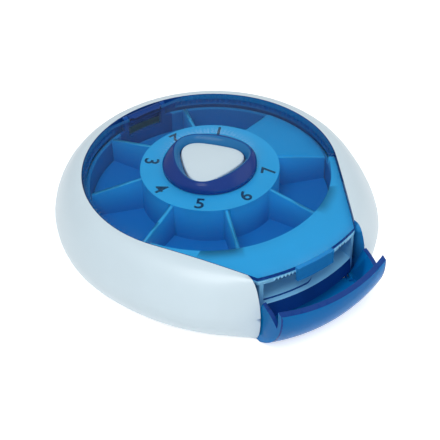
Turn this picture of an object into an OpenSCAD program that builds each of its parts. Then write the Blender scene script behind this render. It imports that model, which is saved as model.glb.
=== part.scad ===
// Seven day pill dispenser with a push button: a carousel of wedge compartments turns one
// place at each press, and its pills slide through the front outlet into an open scoop door.
// Millimetres. The origin is on the table under the carousel axis, +Z is up and the outlet
// faces -Y. The rest position has the lid closed and the scoop door open at its stop.

/* [Body] */
// Radius of the round part of the lid opening
lid_r = 56; // [54:0.5:60]
// Height of the lid rim above the table
rim_z = 34; // [33:0.5:38]
// Distance from the carousel axis to the front edge of the lid
front_y = 71.6; // [70:0.2:76]
// Radius of the curved front edge of the lid
front_r = 76.6; // [72:0.2:90]
// Angle from the front at which the straight sides leave the round
spout_turn = 59.6; // [58:0.2:62]
// Radius of the ball that the crowned lid is cut from
crown_r = 480; // [400:10:900]
// Radius of the casing at its waist
side_r = 69.5; // [68:0.5:74]
// Extra radius of the casing at its front shoulders
shoulder = 7.6; // [6:0.2:9]
// Height of the seam between the two casing halves
seam_z = 15; // [14:0.5:16]
// Height of the casing's underside above the table
base_z = 0.8; // [0.6:0.1:1.2]
// Thickness of the casing walls
wall = 2.2; // [1.8:0.1:2.6]
// Width of the white lip round the lid
lip_w = 1.3; // [1:0.1:1.8]

/* [Carousel] */
// Radius at the tips of the dividers
tray_r = 52.6; // [52:0.1:52.7]
// Radius of the flat hub ring that carries the day marks
hub_r = 30.5; // [28:0.5:33]
// Height of the compartment floor
floor_z = 17.5; // [16.5:0.5:18.5]
// Height of the hub ring
hub_z = 34.2; // [33.6:0.1:34.4]
// Height of the divider tips
tip_z = 29; // [28.5:0.25:30]
// Thickness of the carousel walls and floor
tray_wall = 1.6; // [1.2:0.1:2]

/* [Lid] */
// Thickness of the lid
lid_t = 1.7; // [1.4:0.1:2]
// Depth of the skirt under the round part of the lid
skirt = 4.5; // [3.5:0.1:5]
// Width of the front latch tab
tab_w = 18.5; // [14:0.5:22]
// Depth that the latch tab hangs below the lid
tab_h = 5; // [4:0.2:6]

/* [Button] */
// Mean radius of the rounded triangular button
cap_r = 13.4; // [12.6:0.1:14]
// Height of the button's face
cap_z = 37.6; // [37:0.1:38.2]
// Height of the collar round the button
collar_z = 39.8; // [39:0.1:40.4]
// Radius of the round foot of the collar
dish_r = 20.7; // [20:0.1:21.5]
// Travel of the button
travel = 4; // [3:0.5:4]

/* [Door] */
// Width of the outlet between the casing cheeks
mouth_w = 55; // [53:0.5:56]
// Angle between the open door and the closed door
door_open = 31; // [26:1:32]
// Distance from the axis to the door's hinge
hinge_y = 66.5; // [66:0.1:67.5]
// Height of the door's hinge
hinge_z = 4.5; // [4.3:0.1:5]
// Thickness of the door
door_t = 1.8; // [1.5:0.1:2.2]
// Diameter of the door's hinge pins
door_pin_d = 2; // [1.6:0.1:2.4]

/* [Fits] */
// Gap round the lid and between sliding parts
gap = 0.4; // [0.3:0.05:0.5]
// Running clearance round a pin or a shaft
run = 0.05; // [0.03:0.01:0.08]

/* [Hidden] */
$fn = 96;

// Colours as the photograph shows them
white = [0.84, 0.89, 0.92];
sky = [0.36, 0.68, 0.86];
clear_blue = [0.10, 0.45, 0.78, 0.55];
deep_blue = [0.08, 0.16, 0.50, 0.75];
steel = [0.70, 0.72, 0.74];
rubber = [0.12, 0.12, 0.13];

// Crown of the lid and the arc of its front edge
crown_c = rim_z - sqrt(crown_r * crown_r - lid_r * lid_r);
front_c = front_r - front_y;
deck_drop = lid_t + 0.4;
deck_t = 1.8;

// Casing
mouth_x = mouth_w / 2;
shoulder_at = 22;
shoulder_span = 55;
base_step = 2.5;
seam_land = 0.6;
base_top = base_z + wall;
open_wall = 1.7;
open_wall_z = rim_z - 8;
cheek_back = 50;
screw_ring = 62.3;
screw_turns = [52, 140, 220, 308];
screw_r = 1.25;
boss_r = 3.2;
foot_ring = 50;
foot_turns = [38, 142, 218, 322];
foot_r = 5;
foot_sink = 1.2;

// Carousel, drum and chute
sectors = 8;
step = 360 / sectors;
drum_in = tray_r + gap;
drum_wall = 1.6;
drum_z = tip_z - 1.5;
ring_in = dish_r - 1.2;
well_out = ring_in + 1.5;
window_x = tray_r * sin(step / 2) - 0.6;
window_top = tip_z + 0.3;
chute_x = mouth_x - 3;
sill_z = floor_z - 0.9;
sill_r = front_r - 0.3;
ledge_h = 0.8;
apron_z = 8.5;

// Hinge of the lid
lid_axis_y = lid_r - 2.8;
lid_axis_z = rim_z - 0.8;
lid_pin_r = 0.7;
lug_r = 1.5;
lug_w = 17.4;
ear_w = 2.4;
notch_w = lug_w + 0.5;
relief_x = lug_w / 2 + 13;

// Mechanism under the button
post_r = 2.5;
stem_r = 4.5;
sleeve_in = stem_r + 0.15;
sleeve_out = sleeve_in + 2.4;
head_r = 10;
head_z = cap_z - 4.4;
stem_z = 14;
lug_z = 22;
cam_z = 7.5;
cam_r = 12.3;
cam_lead = step / travel;
pawl_r = 17.3;
teeth_in = 17.5;
bearing_in = well_out + 5.4;
bearing_out = bearing_in + 2.4;
washer_z = floor_z - tray_wall - 1.4;
post_z = base_z + 3.6;
detent_r = 34;
spring_turns = 7;
spring_wire = 0.5;

// Scoop door: its wall bulges from a ball section that turns about the front edge's centre
door_x = mouth_x - gap;
scoop_r = front_r - 17.5;
scoop_z = rim_z - 17.5;
scoop_bulge = 26.3;
door_top = rim_z - 2.5;
door_floor_z = 0.6;
door_heel = 2;
door_cheek_r = 19.7;
door_cheek_back = 12;
barrel_r = 2.2;
barrel_w = 3.4;

function lid_top(r) = crown_c + sqrt(crown_r * crown_r - r * r);
function clamp01(v) = min(1, max(0, v));

// Plan of the lid opening: a circle, two straight sides and a curved front edge
function side_line(a) = a < spout_turn ? lid_r / cos(spout_turn - a) : lid_r;
function front_arc(a) =
    sqrt(front_r * front_r - pow(front_c * sin(a), 2)) - front_c * cos(a);
function open_at(a) = min(side_line(a), front_arc(a));

// Plan of the casing at its waist and at its base, by the angle from the front
function waist_at(a) =
    side_r + shoulder * (1 + cos(180 * clamp01((a - shoulder_at) / shoulder_span))) / 2;
function base_at(a) = open_at(a) + base_step;
function from_front(t) = t <= 180 ? t : 360 - t;
function snap(v) = round(v * 1000) / 1000;
function polar(r, t, z) = [snap(r * sin(t)), snap(-r * cos(t)), snap(z)];

// Section of the casing: k runs from 0 at the lip or the base to 1 at the waist
function upper_point(t, k, inset) =
    let (a = from_front(t), lip = open_at(a) + lip_w, top = lid_top(open_at(a)) + 0.2,
         s = pow(sin(90 * k), 1.2), c = pow(cos(90 * k), 1.2))
    polar(lip + (waist_at(a) - lip) * s - inset, t, seam_z + (top - inset - seam_z) * c);
function lower_point(t, k, inset) =
    let (a = from_front(t), s = pow(sin(90 * k), 0.9), c = pow(cos(90 * k), 0.9))
    polar(base_at(a) + (waist_at(a) - base_at(a)) * s - inset, t,
          seam_z - (seam_z - base_z - inset) * c);

// Closed solid through rings of points, lowest ring first
module skin(rings) {
    n = len(rings[0]);
    m = len(rings);
    low = [0, 0, rings[0][0][2]];
    high = [0, 0, rings[m - 1][round(n / 2)][2]];
    points = concat([for (ring = rings) each ring], [low, high]);
    sides = [for (j = [0:m - 2], i = [0:n - 1])
        let (a = j * n + i, b = j * n + (i + 1) % n)
        each [[a, a + n, b + n], [a, b + n, b]]];
    floor_faces = [for (i = [0:n - 1]) [i, (i + 1) % n, n * m]];
    roof_faces = [for (i = [0:n - 1]) [n * (m - 1) + i, n * m + 1, n * (m - 1) + (i + 1) % n]];
    polyhedron(points, concat(sides, floor_faces, roof_faces));
}

// Each half has a short upright land at the seam
module upper_form(n, m, inset = 0, sunk = 0) {
    waist = [for (i = [0:n - 1]) upper_point(i * 360 / n, 1, inset)];
    rings = [for (j = [1:m]) [for (i = [0:n - 1]) upper_point(i * 360 / n, 1 - j / m, inset)]];
    skin(concat([[for (p = waist) p - [0, 0, sunk]], [for (p = waist) p + [0, 0, seam_land]]],
        rings));
}

module lower_form(n, m, inset = 0, raised = 0) {
    waist = [for (i = [0:n - 1]) lower_point(i * 360 / n, 1, inset)];
    rings = [for (j = [0:m - 1]) [for (i = [0:n - 1]) lower_point(i * 360 / n, j / m, inset)]];
    skin(concat(rings,
        [[for (p = waist) p - [0, 0, seam_land]], [for (p = waist) p + [0, 0, raised]]]));
}

// Flat outline of the lid, grown by g. The straight sides cut the circle by a hair, so that
// the curves cross cleanly.
module lid_outline(g = 0) {
    r = lid_r + g;
    d = r - 0.01;
    intersection() {
        union() {
            circle(r, $fn = 180);
            polygon([[0, 0], polar2(d, spout_turn), [0, -d / cos(spout_turn)],
                     polar2(d, -spout_turn)]);
        }
        translate([0, front_c]) circle(front_r + g, $fn = 180);
    }
}
function polar2(r, t) = [r * sin(t), -r * cos(t)];

// Dome of radius r under a highest point, cut off deep below that point
module dome(r, top, deep = 30) {
    translate([0, 0, top - r]) rotate_extrude($fn = 180) intersection() {
        circle(r, $fn = 720);
        translate([0, r - deep]) square([90, deep + 10]);
    }
}

// Layer of the crowned lid between two depths below its top
module crown_layer(from, to) {
    translate([0, 0, crown_c]) rotate_extrude($fn = 180) intersection() {
        difference() {
            circle(crown_r - from, $fn = 720);
            circle(crown_r - to, $fn = 720);
        }
        translate([0, crown_r - 30]) square([90, 40]);
    }
}

// Wedge seen from the axis, centred on the front and a degrees to each side
module front_wedge(a, h0, h1) {
    translate([0, 0, h0]) linear_extrude(h1 - h0)
        polygon([[0, 0], polar2(160, a), [80, -150], [-80, -150], polar2(160, -a)]);
}

module around(turns, r) {
    for (t = turns) rotate([0, 0, t]) translate([0, -r, 0]) children();
}

module tube(r_out, r_in, z0, z1) {
    translate([0, 0, z0]) difference() {
        cylinder(h = z1 - z0, r = r_out);
        translate([0, 0, -1]) cylinder(h = z1 - z0 + 2, r = r_in);
    }
}

// Walls that close the casing's cheeks beside the outlet
module cheek_walls(z0, z1) {
    for (s = [-1, 1])
        translate([s > 0 ? mouth_x : -mouth_x - wall, -95, z0])
            cube([wall, 95 - cheek_back, z1 - z0]);
}

module lower_shell() color(white) difference() {
    lower_form(96, 6);
    difference() {
        lower_form(64, 4, wall, 1);
        cheek_walls(base_top - 1, seam_z + 2);
        around(screw_turns, screw_ring) translate([0, 0, base_top - 1])
            cylinder(h = seam_z, r = boss_r);
        tube(bearing_out, bearing_in, base_top - 1, washer_z);
        tube(well_out + 1.7, well_out + 0.1, base_top - 1, washer_z - 2);
        tube(8.4, 5.2, base_top - 1, cam_z - 0.1);
        translate([0, 0, base_top - 1]) cylinder(h = post_z - base_top + 1, r = 6);
        for (t = [90, 270]) rotate([0, 0, t]) cam_hook();
        translate([-mouth_x, -hinge_y + 3, base_top - 1])
            cube([mouth_w, wall, apron_z + 3 - base_top]);
        detent_place() translate([-4, -3.5, base_top - 1])
            cube([8, 7, washer_z - base_top - 1]);
    }
    translate([-mouth_x, -120, -1]) cube([mouth_w, 120 - hinge_y + 3, seam_z + 3]);
    for (s = [-1, 1]) translate([s * mouth_x, -hinge_y, hinge_z]) rotate([0, s * 90, 0])
        translate([0, 0, -1]) cylinder(h = wall + 2, r = door_pin_d / 2);
    around(screw_turns, screw_ring) {
        translate([0, 0, -1]) cylinder(h = seam_z + 2, r = screw_r + 0.25);
        translate([0, 0, -1]) cylinder(h = 9, r = 2.7);
    }
    around(foot_turns, foot_ring) foot_recess();
    foot_recess();
    translate([0, 0, base_z]) cylinder(h = 6, r = screw_r + 0.25);
    translate([0, 0, base_z]) cylinder(h = foot_sink + 1.1, r = 2.7);
    detent_place() translate([0, 0, base_top]) cylinder(h = 12, r = 0.8);
}

module foot_recess() {
    translate([0, 0, base_z - 1]) cylinder(h = foot_sink + 1, r = foot_r);
}

// Snap hook that keeps the drive cam down
module cam_hook() {
    translate([cam_r + gap, -3, base_top - 1]) cube([1.6, 6, cam_z + 3.6 - base_top]);
    translate([cam_r - 0.8, -3, cam_z + 1.5 + 0.1]) cube([gap + 2.4, 6, 1]);
}

// Place of the detent spring's screw, under the rear of the carousel
module detent_place() {
    translate([0, detent_r + 11, 0]) children();
}

module upper_shell() color(white) difference() {
    upper_form(96, 8);
    difference() {
        upper_form(64, 5, wall, 1);
        difference() {
            translate([0, 0, open_wall_z]) linear_extrude(20) lid_outline(open_wall);
            translate([0, 0, open_wall_z - 1]) linear_extrude(22) lid_outline();
        }
        cheek_walls(seam_z - 1.5, 50);
        around(screw_turns, screw_ring) translate([0, 0, seam_z]) cylinder(h = 14, r = boss_r);
    }
    translate([0, 0, open_wall_z]) linear_extrude(20) lid_outline();
    translate([-mouth_x, -120, seam_z - 2]) cube([mouth_w, 120 - cheek_back, 40]);
    around(screw_turns, screw_ring) translate([0, 0, seam_z - 1])
        cylinder(h = 11, r = screw_r);
}

// Fixed liner: the wall round the carousel, the deck under the lid's front and the chute
module drum() color(sky) difference() {
    union() {
        tube(drum_in + drum_wall, drum_in, base_top, drum_z);
        intersection() {
            union() {
                tube(drum_in + drum_wall, drum_in, drum_z - 1, rim_z - deck_drop - 1);
                intersection() {
                    translate([0, 0, window_top - 2]) linear_extrude(20) difference() {
                        lid_outline(-gap);
                        circle(drum_in);
                    }
                    crown_layer(deck_drop, deck_drop + deck_t);
                }
            }
            front_wedge(spout_turn + 3, 0, 60);
        }
        chute();
        for (s = [-1, 1]) hinge_ear(s);
    }
    translate([-window_x, -tray_r - 12, floor_z - 0.2])
        cube([2 * window_x, 24, window_top - floor_z + 0.2]);
    translate([-notch_w / 2, drum_in - 4, drum_z - 4]) cube([notch_w, 8, 20]);
    translate([-20, lid_axis_y, lid_axis_z]) rotate([0, 90, 0]) cylinder(h = 40, r = lid_pin_r);
}

module hinge_ear(s) {
    x = s > 0 ? lug_w / 2 + 0.25 : -lug_w / 2 - 0.25 - ear_w;
    near = min(lid_axis_y - 1, drum_in + 0.2);
    translate([x, near, drum_z - 3])
        cube([ear_w, lid_axis_y + 1 - near, lid_axis_z - drum_z + 3]);
    translate([x, lid_axis_y, lid_axis_z]) rotate([0, 90, 0]) cylinder(h = ear_w, r = lug_r);
}

module chute() intersection() {
    linear_extrude(60) difference() {
        intersection() {
            lid_outline(-0.3);
            translate([-chute_x, -100]) square([2 * chute_x, 100]);
        }
        circle(drum_in);
    }
    dome(crown_r - deck_drop - 1, lid_top(0) - deck_drop - 1);
    union() {
        translate([-50, 0, 0]) rotate([90, 0, 90]) linear_extrude(100)
            polygon([[-40, floor_z], [-80, sill_z - 0.3], [-80, sill_z - 2.1],
                     [-40, floor_z - 1.8]]);
        chute_ledge();
        chute_sides();
        translate([0, front_c, 0]) tube(sill_r, sill_r - 1.6, apron_z, sill_z - 0.6);
    }
}

// Raised light panel on the left half of the chute floor, with one rounded corner
module chute_ledge() {
    corner = 6;
    edge = sill_r - 2.2;
    translate([0, 0, sill_z - 1]) linear_extrude(ledge_h + 1.3) intersection() {
        translate([0, front_c]) circle(edge, $fn = 180);
        union() {
            translate([-50, -80]) square([54 - corner, 80]);
            translate([-50, front_c - edge + corner]) square([54, 40]);
            translate([4 - corner, front_c - edge + corner]) circle(corner);
        }
    }
}

module chute_sides() {
    for (s = [-1, 1]) translate([0, 0, floor_z - 3]) linear_extrude(20)
        polygon([[s * (window_x + 0.2), -40], [s * (window_x + 2), -40], [s * chute_x, -56],
                 [s * chute_x, -80], [s * (chute_x - 1.6), -80], [s * (chute_x - 1.6), -56]]);
}

module lid() color(clear_blue) difference() {
    union() {
        intersection() {
            translate([0, 0, rim_z - 10]) linear_extrude(20) lid_outline(-gap);
            crown_layer(0, lid_t);
        }
        difference() {
            tube(lid_r - gap, lid_r - gap - 1.3, rim_z - skirt, rim_z - lid_t + 0.5);
            front_wedge(spout_turn + 4, 0, 60);
            translate([-lug_w / 2 - 3, 40, 0]) cube([lug_w + 6, 30, 60]);
        }
        latch_tab();
        translate([-lug_w / 2, lid_axis_y, lid_axis_z]) rotate([0, 90, 0])
            cylinder(h = lug_w, r = lug_r);
        translate([-lug_w / 2, lid_axis_y - 3, lid_axis_z - 0.8]) cube([lug_w, 3, 1.2]);
    }
    translate([0, 0, rim_z - 5]) cylinder(h = 12, r = dish_r + 0.02);
    difference() {
        translate([-lug_w / 2 - 3, lid_axis_y - lug_r - 0.3, rim_z - 6]) cube([lug_w + 6, 12, 12]);
        translate([-lug_w / 2, lid_axis_y - lug_r - 1, rim_z - 7]) cube([lug_w, lug_r + 1, 14]);
        translate([-lug_w / 2, lid_axis_y, lid_axis_z]) rotate([0, 90, 0])
            cylinder(h = lug_w, r = lug_r);
    }
    // Relief beside the hinge, so that the edge swings clear of the white lip
    for (s = [-1, 1]) translate([s > 0 ? relief_x - 11 : -relief_x, lid_axis_y - 1.6, rim_z - 6])
        cube([11, 12, 12]);
    translate([-20, lid_axis_y, lid_axis_z]) rotate([0, 90, 0])
        cylinder(h = 40, r = lid_pin_r + run);
}

module latch_tab() {
    top = lid_top(front_y);
    intersection() {
        translate([0, front_c, top - lid_t - tab_h]) difference() {
            cylinder(h = tab_h + lid_t, r = front_r + 1.4, $fn = 180);
            translate([0, 0, -1]) cylinder(h = tab_h + 1, r = front_r, $fn = 180);
            translate([0, 0, -1]) cylinder(h = tab_h + lid_t + 2, r = front_r - 1.6, $fn = 180);
        }
        translate([-tab_w / 2, -100, 0]) cube([tab_w, 60, 60]);
    }
}

module lid_hinge_pin() color(steel)
    translate([-lug_w / 2 - ear_w - 0.25, lid_axis_y, lid_axis_z]) rotate([0, 90, 0])
        cylinder(h = lug_w + 2 * ear_w + 0.5, r = lid_pin_r);

// Rounded triangle with one corner to the rear, grown by g, its corners drawn out by d
function tri(g, d = 1.9) = [for (i = [0:71]) let (t = i * 5, r = cap_r + g + d * cos(3 * t))
    [-r * sin(t), r * cos(t)]];

module tri_plate(g, z0, z1, d = 1.9) {
    translate([0, 0, z0]) linear_extrude(z1 - z0) polygon(tri(g, d));
}

module button_surround() color(deep_blue) difference() {
    union() {
        hull() {
            translate([0, 0, lid_top(dish_r) - 0.3]) cylinder(h = 0.3, r = dish_r, $fn = 72);
            tri_plate(3.9, collar_z - 0.3, collar_z, 1.3);
        }
        translate([0, 0, hub_z + 0.5]) cylinder(h = lid_top(dish_r) - hub_z - 0.7, r = dish_r);
    }
    tri_plate(gap, hub_z - 1, collar_z + 1);
    hull() {
        tri_plate(gap, cap_z - 1, cap_z - 0.9);
        tri_plate(2.7, collar_z, collar_z + 0.1, 1.6);
    }
}

module button_cap() color(white) {
    intersection() {
        tri_plate(0, head_z, cap_z + 1);
        dome(110, cap_z + 0.3, 8);
    }
    tri_plate(gap + 1.2, head_z, hub_z + 0.3);
}

module plunger() color(white) difference() {
    union() {
        translate([0, 0, head_z - 2]) cylinder(h = 1.95, r = head_r);
        translate([0, 0, stem_z]) cylinder(h = head_z - 1 - stem_z, r = stem_r);
        translate([0.3 - sleeve_out, 0, lug_z]) rotate([0, 90, 0])
            cylinder(h = 2 * sleeve_out - 0.6, r = 1);
    }
    translate([0, 0, stem_z - 1]) intersection() {
        cylinder(h = head_z - 2 - stem_z, r = post_r + run);
        translate([-5, -2 - run, 0]) cube([10, 4 + 2 * run, 40]);
    }
}

// Sleeve with two spiral slots that turn it as the plunger comes down
module drive_cam() color(white) difference() {
    union() {
        translate([0, 0, cam_z]) cylinder(h = 19, r = sleeve_out);
        translate([0, 0, cam_z]) cylinder(h = 1.5, r = cam_r);
    }
    translate([0, 0, cam_z - 1]) cylinder(h = 22, r = sleeve_in);
    spiral_slots();
}

module spiral_slots() {
    low = travel + 1.5;
    high = 1.5;
    translate([0, 0, lug_z - low]) rotate([0, 0, cam_lead * low])
        linear_extrude(height = low + high, twist = cam_lead * (low + high), slices = 16)
            for (s = [0, 180]) rotate([0, 0, s]) translate([sleeve_in - 0.8, -1.75])
                square([4.2, 3.5]);
}

// Spring steel ring with two arms that push the carousel one way
module drive_pawl() color(steel) translate([0, 0, cam_z + 1.5]) linear_extrude(0.6)
    difference() {
        union() {
            circle(11.4);
            for (s = [0, 180]) rotate([0, 0, s])
                polygon([[10.4, 8], [8.6, 5], [16.6, 0.4], [pawl_r - 0.1, 1.2]]);
        }
        circle(sleeve_out + 0.05);
    }

module plunger_spring() color(steel) {
    low = post_z + 1;
    mean = stem_r - 0.9;
    steps = 16 * spring_turns;
    rise = (stem_z - low - spring_wire) / steps;
    wire([for (i = [0:steps]) [for (k = [0:5])
        let (t = i * 22.5, w = spring_wire / 2, r = mean + w * cos(k * 60))
        [r * cos(t), r * sin(t), low + w + i * rise + w * sin(k * 60)]]]);
}

// Wire of six sides through rings of points
module wire(rings) {
    m = len(rings);
    points = [for (ring = rings) each ring];
    sides = [for (j = [0:m - 2], k = [0:5])
        let (a = j * 6 + k, b = j * 6 + (k + 1) % 6)
        each [[a, a + 6, b + 6], [a, b + 6, b]]];
    polyhedron(points, concat(sides, [[0, 1, 2, 3, 4, 5]],
        [[for (k = [5:-1:0]) (m - 1) * 6 + k]]));
}

// Carousel: seven open compartments and one closed place, round a hub with the day ring
module tray() color(sky) difference() {
    union() {
        tube(tray_r, bearing_in - 0.2, floor_z - tray_wall, floor_z);
        tube(hub_r, hub_r - tray_wall, floor_z - 1, hub_z - 0.5);
        tube(hub_r, ring_in, hub_z - tray_wall, hub_z);
        tube(well_out, ring_in, cam_z - 0.3, hub_z - 0.5);
        tube(detent_r + 3, detent_r - 3, washer_z, floor_z - 1);
        intersection() {
            divider_cone();
            for (k = [0:sectors - 1]) rotate([0, 0, step * (k + 0.5)])
                translate([hub_r - 1, -tray_wall / 2, floor_z - 1])
                    cube([tray_r - hub_r + 5, tray_wall, 30]);
        }
        blank_cover();
        ratchet();
    }
    for (k = [0:sectors - 1]) rotate([0, 0, step * k + 90])
        translate([detent_r - 5, 0, washer_z]) rotate([0, 90, 0])
            cylinder(h = 10, r = 1.8, $fn = 32);
}

// Solid under the sloping tops of the dividers
module divider_cone() {
    rotate_extrude() polygon([[hub_r - 1.2, floor_z - 1], [tray_r, floor_z - 1],
        [tray_r, tip_z], [hub_r, hub_z - 0.9], [hub_r - 1.2, hub_z - 0.9]]);
}

// Sloping cover over the closed place
module blank_cover() {
    rotate([0, 0, -step / 2]) rotate_extrude(angle = step)
        polygon([[hub_r - 1, hub_z - tray_wall], [tray_r, tip_z + 0.3 - tray_wall],
            [tray_r, tip_z + 0.3], [hub_r, hub_z], [hub_r - 1, hub_z]]);
}

// Ring of saw teeth inside the well, pushed by the pawl
module ratchet() {
    translate([0, 0, cam_z - 0.3]) linear_extrude(3) difference() {
        circle(ring_in + 0.5);
        polygon([for (k = [0:sectors - 1]) each
            [polar2(teeth_in, k * step), polar2(ring_in - 0.1, k * step + 1),
             polar2(ring_in - 0.3, k * step + 12), polar2(teeth_in + 0.8, k * step + 30)]]);
    }
}

module centre_post() color(steel) difference() {
    union() {
        translate([0, 0, post_z]) cylinder(h = 1, r = 4.8);
        translate([0, 0, post_z]) intersection() {
            cylinder(h = head_z - travel - 3.2 - post_z, r = post_r);
            translate([-5, -2, 0]) cube([10, 4, 40]);
        }
    }
    translate([0, 0, post_z - 1]) cylinder(h = 8, r = screw_r);
}

module post_screw() color(steel) {
    translate([0, 0, base_z + foot_sink]) cylinder(h = 1.1, r = 2.4);
    translate([0, 0, base_z + foot_sink]) cylinder(h = post_z + 5 - base_z, r = screw_r);
}

module tray_washer() color([0.93, 0.93, 0.90])
    tube(bearing_out, bearing_in, washer_z, floor_z - tray_wall - 0.05);

// Leaf spring whose rounded nose drops into a notch under the carousel
module detent_spring() color(steel) difference() {
    union() {
        translate([-3, detent_r - 3, washer_z - 2]) cube([6, 17, 0.6]);
        intersection() {
            translate([-3, detent_r - 2.5, washer_z - 2]) cube([6, 5, 3]);
            translate([0, detent_r + 2.5, washer_z - 1.6]) rotate([90, 0, 0])
                cylinder(h = 5, r = 1.5);
        }
    }
    detent_place() translate([0, 0, base_top]) cylinder(h = 20, r = 1.1);
}

module detent_screw() color(steel) detent_place() {
    translate([0, 0, washer_z - 1.4]) cylinder(h = 1, r = 2);
    translate([0, 0, washer_z - 8]) cylinder(h = 7, r = 0.8);
}

// Scoop door, drawn closed and swung out about its hinge
module door() color(clear_blue) door_swing(door_open) difference() {
    union() {
        intersection() {
            door_block();
            above_floor(0);
            difference() {
                scoop(scoop_bulge);
                intersection() {
                    scoop(scoop_bulge - door_t);
                    above_floor(door_t);
                }
            }
        }
        door_cheeks();
        door_barrels(barrel_w) cylinder(h = barrel_w, r = barrel_r);
    }
    door_barrels(barrel_w + 1) cylinder(h = barrel_w + 2, r = door_pin_d / 2 + run);
    door_swing(-door_open) translate([-60, door_heel - hinge_y, -5])
        cube([120, 20, door_floor_z + door_t + 5.35]);
}

module door_swing(a) {
    translate([0, -hinge_y, hinge_z]) rotate([a, 0, 0]) translate([0, hinge_y, -hinge_z])
        children();
}

// Everything above the door's floor, which lies level when the door is open
module above_floor(h) {
    door_swing(-door_open) translate([-60, -130, door_floor_z + h]) cube([120, 130, 100]);
}

module door_block() {
    translate([-door_x, -120, -20]) cube([2 * door_x, 121.4 - hinge_y, door_top + 20]);
}

// Body of revolution behind the scoop's bulging front
module scoop(r) {
    translate([0, front_c, 0]) rotate_extrude($fn = 180) {
        translate([scoop_r, scoop_z]) circle(r);
        translate([0, -30]) square([scoop_r, 90]);
    }
}

module door_cheeks() intersection() {
    difference() {
        translate([-door_x, -hinge_y, hinge_z]) rotate([0, 90, 0])
            cylinder(h = 2 * door_x, r = door_cheek_r);
        translate([-door_x + door_t, -120, -20]) cube([2 * (door_x - door_t), 100, 80]);
    }
    translate([0, -hinge_y, hinge_z]) rotate([-door_cheek_back, 0, 0])
        translate([-60, -80, -60]) cube([120, 80.5, 120]);
    scoop(scoop_bulge);
    above_floor(0);
}

// Places a barrel or a pin of length w at each end of the door's hinge
module door_barrels(w) {
    for (s = [-1, 1]) translate([s * (door_x - w), -hinge_y, hinge_z]) rotate([0, s * 90, 0])
        children();
}

module door_pins() color(steel) {
    for (s = [-1, 1]) translate([s * (door_x - barrel_w + 0.3), -hinge_y, hinge_z])
        rotate([0, s * 90, 0]) cylinder(h = barrel_w - 0.3 + gap + wall, r = door_pin_d / 2);
}

module case_screws() color(steel) around(screw_turns, screw_ring) {
    translate([0, 0, 6.3]) cylinder(h = 1.7, r = 2.4);
    translate([0, 0, 6.3]) cylinder(h = seam_z + 2, r = screw_r);
}

module rubber_feet() color(rubber) {
    around(foot_turns, foot_ring) cylinder(h = base_z + foot_sink, r = foot_r);
    cylinder(h = base_z + foot_sink, r = foot_r);
}

lower_shell();
upper_shell();
drum();
lid();
lid_hinge_pin();
button_surround();
button_cap();
plunger();
plunger_spring();
tray();
drive_cam();
drive_pawl();
centre_post();
post_screw();
tray_washer();
detent_spring();
detent_screw();
door();
door_pins();
case_screws();
rubber_feet();
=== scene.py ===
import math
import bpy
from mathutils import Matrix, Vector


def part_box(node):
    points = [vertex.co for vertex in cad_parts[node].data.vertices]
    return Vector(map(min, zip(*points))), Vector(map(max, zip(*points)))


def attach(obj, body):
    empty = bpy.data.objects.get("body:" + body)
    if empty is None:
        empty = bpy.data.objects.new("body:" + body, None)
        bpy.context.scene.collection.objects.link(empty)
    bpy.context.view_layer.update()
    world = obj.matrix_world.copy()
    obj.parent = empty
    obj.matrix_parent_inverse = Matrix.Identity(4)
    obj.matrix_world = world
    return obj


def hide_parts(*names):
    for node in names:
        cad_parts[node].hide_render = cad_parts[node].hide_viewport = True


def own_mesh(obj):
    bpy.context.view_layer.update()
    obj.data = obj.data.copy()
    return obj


bl_info = {
    "name": "Carousel pill dispenser",
    "version": (1, 0, 0),
    "blender": (4, 5, 0),
    "location": "View3D > Sidebar > Dispenser",
    "description": "Builds the visible pieces of a push button pill dispenser",
    "category": "Object",
}

import bmesh
import bpy
from bpy.props import FloatProperty, FloatVectorProperty, PointerProperty
from mathutils import Matrix, Vector

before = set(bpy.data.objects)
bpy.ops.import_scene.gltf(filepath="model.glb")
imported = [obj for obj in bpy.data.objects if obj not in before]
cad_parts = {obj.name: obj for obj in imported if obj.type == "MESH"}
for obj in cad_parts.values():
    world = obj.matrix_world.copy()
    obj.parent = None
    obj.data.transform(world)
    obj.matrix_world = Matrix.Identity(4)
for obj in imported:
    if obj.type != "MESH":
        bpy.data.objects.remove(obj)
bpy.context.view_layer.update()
MM = 0.001
STEP = math.radians(45)

# Places on the solids, in millimetres
MOUTH_HALF = 27.8           # half the width of the casing's mouth
OUTLET_BACK = -53.4         # where the outlet starts, towards the axis
COVER_INNER = 30.6          # inner edge of the carousel's closed place
DOOR_HINGE = Vector((0, -66.5, 4.5))
DOOR_OPEN = math.radians(31)
SCREW_CIRCLE = 62.3
PAD_CIRCLE = 50
CORNERS = 96                # points round the button and the collar


# ---- selection and mesh helpers ----

def deselect_all():
    if bpy.context.object and bpy.context.object.mode != "OBJECT":
        bpy.ops.object.mode_set(mode="OBJECT")
    bpy.ops.object.select_all(action="DESELECT")


def activate(obj):
    deselect_all()
    obj.select_set(True)
    bpy.context.view_layer.objects.active = obj


def settle(obj, name):
    """Applies the place to the mesh and names the piece."""
    activate(obj)
    bpy.ops.object.transform_apply(location=True, rotation=True, scale=True)
    obj.name = name
    obj.data.name = name
    return obj


def smooth(obj, degrees=32):
    activate(obj)
    bpy.ops.object.shade_smooth_by_angle(angle=math.radians(degrees))


def level_faces_sharp(obj):
    """Keeps the level faces plain by sharp edges all round them."""
    mesh = bmesh.new()
    mesh.from_mesh(obj.data)
    for edge in mesh.edges:
        level = [abs(face.normal.z) > 0.999 for face in edge.link_faces]
        if any(level) and not all(level):
            edge.smooth = False
    mesh.to_mesh(obj.data)
    mesh.free()


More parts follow.
